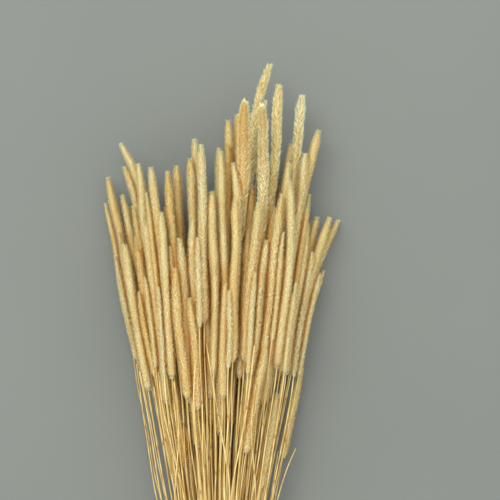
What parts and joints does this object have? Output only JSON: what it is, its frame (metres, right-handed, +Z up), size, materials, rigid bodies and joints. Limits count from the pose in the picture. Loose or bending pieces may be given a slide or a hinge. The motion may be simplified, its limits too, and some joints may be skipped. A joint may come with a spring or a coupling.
{
  "type": "bundle of dried timothy grass",
  "caption": "Bundle of dried timothy grass lying on its side: long cylindrical seed heads on thin straw stems, fanned out from a waist held by a wound elastic band.",
  "frame": {"origin": "middle of the bundle's footprint, on the surface that it lies on", "axes": "+Y along the bundle from the cut ends to the seed heads, +X across it, +Z up from the surface"},
  "size_m": [0.1678, 0.633, 0.0759],
  "materials": {
    "straw": "dry matt straw, cream on the fluffy seed heads and golden and slightly glossy on the stems",
    "tie_band": "matt natural rubber"
  },
  "bodies": {
    "root": {"tie_band": "tie_band", "stalk_pair_01": "straw", "stalk_pair_02": "straw", "stalk_pair_03": "straw", "stalk_pair_04": "straw", "stalk_pair_05": "straw", "stalk_pair_06": "straw", "stalk_pair_07": "straw", "stalk_pair_08": "straw", "stalk_pair_09": "straw", "stalk_pair_10": "straw", "stalk_pair_11": "straw", "stalk_pair_12": "straw", "stalk_pair_13": "straw", "stalk_pair_14": "straw", "stalk_pair_15": "straw", "stalk_pair_16": "straw", "stalk_pair_17": "straw", "stalk_pair_18": "straw", "stalk_pair_19": "straw", "stalk_pair_20": "straw", "stalk_pair_21": "straw", "stalk_pair_22": "straw", "stalk_pair_23": "straw", "stalk_pair_24": "straw", "stalk_pair_25": "straw", "stalk_pair_26": "straw", "stalk_pair_27": "straw", "stalk_pair_28": "straw", "stalk_pair_29": "straw", "stalk_pair_30": "straw", "stalk_pair_31": "straw", "stalk_pair_32": "straw", "stalk_pair_33": "straw", "stalk_pair_34": "straw", "stalk_pair_35": "straw", "stalk_pair_36": "straw", "stalk_pair_37": "straw", "stalk_pair_38": "straw", "stalk_pair_39": "straw", "stalk_pair_40": "straw", "stalk_pair_41": "straw", "stalk_pair_42": "straw", "stalk_pair_43": "straw", "stalk_pair_44": "straw", "stalk_pair_45": "straw", "stalk_pair_46": "straw", "stalk_pair_47": "straw", "stalk_pair_48": "straw", "stalk_pair_49": "straw", "stalk_pair_50": "straw", "stalk_pair_51": "straw", "stalk_pair_52": "straw", "stalk_pair_53": "straw", "stalk_pair_54": "straw", "stalk_pair_55": "straw", "stalk_pair_56": "straw", "stalk_pair_57": "straw", "stalk_pair_58": "straw", "stalk_pair_59": "straw"}
  },
  "joints": []
}
